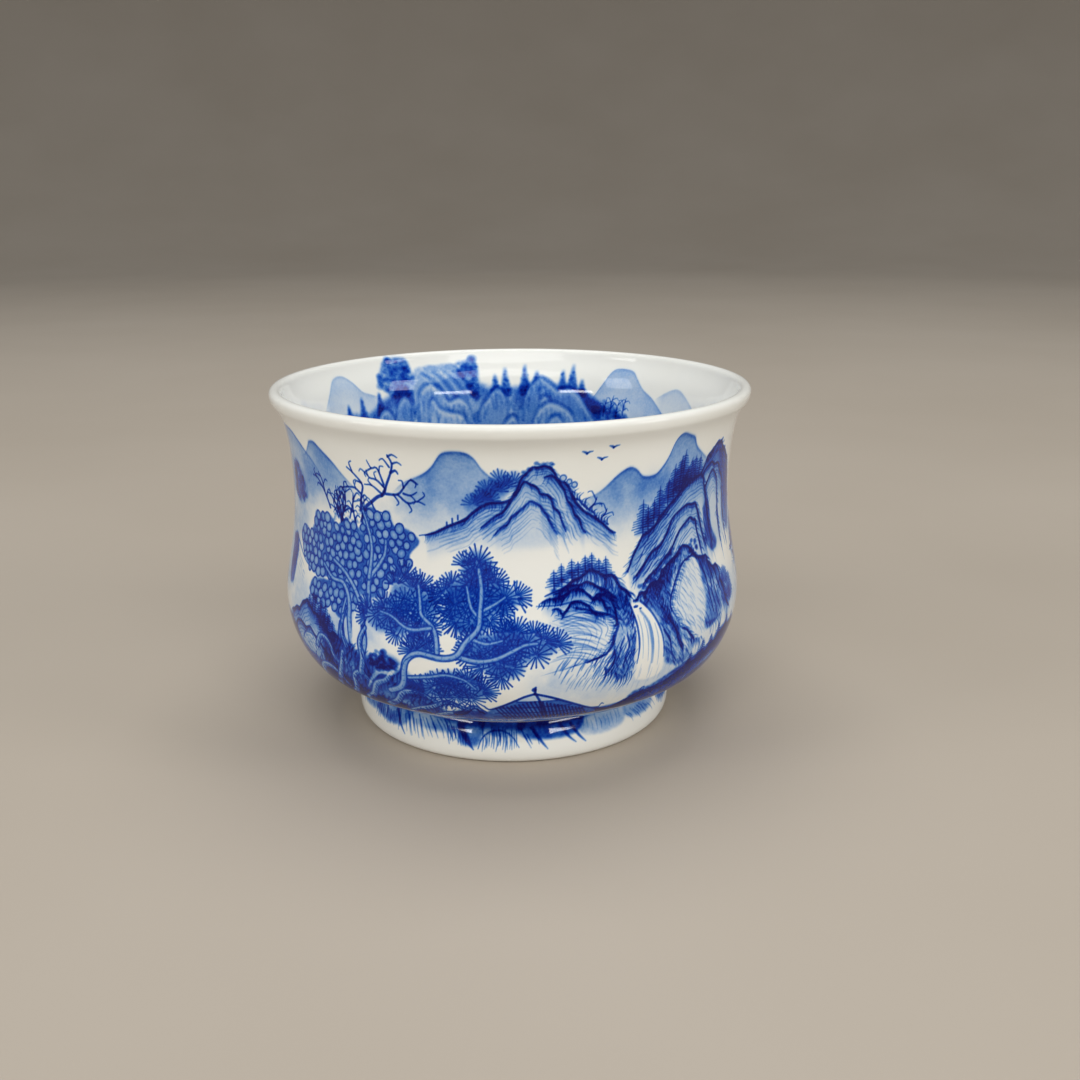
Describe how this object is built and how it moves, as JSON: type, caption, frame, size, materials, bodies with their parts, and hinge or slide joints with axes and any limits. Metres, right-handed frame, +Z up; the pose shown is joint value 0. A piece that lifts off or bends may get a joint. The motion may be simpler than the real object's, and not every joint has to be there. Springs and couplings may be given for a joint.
{
  "type": "teacup",
  "caption": "Small round porcelain teacup with an everted lip, a low full belly and a splayed foot ring, painted under the glaze in cobalt blue with a mountain landscape.",
  "frame": {"origin": "middle of the ring that the cup stands on, on the table surface", "axes": "+Z up along the cup's axis of revolution; the painted front faces -Y, and +X is to the right of someone looking at it"},
  "size_m": [0.08, 0.08, 0.0576],
  "materials": {
    "porcelain": "fired, unglazed where it stands, fine and matt",
    "slip": "fired clay slip, matt",
    "painted_glaze": "clear glossy glaze over cobalt blue underglaze painting on white porcelain",
    "clear_glaze": "clear glossy glaze on white porcelain"
  },
  "bodies": {
    "root": {"bowl_body": "porcelain", "foot_ring": "porcelain", "foot_joint_slip": "slip", "outer_glaze": "painted_glaze", "inner_glaze": "painted_glaze", "foot_glaze": "painted_glaze", "recess_glaze": "clear_glaze"}
  },
  "joints": []
}
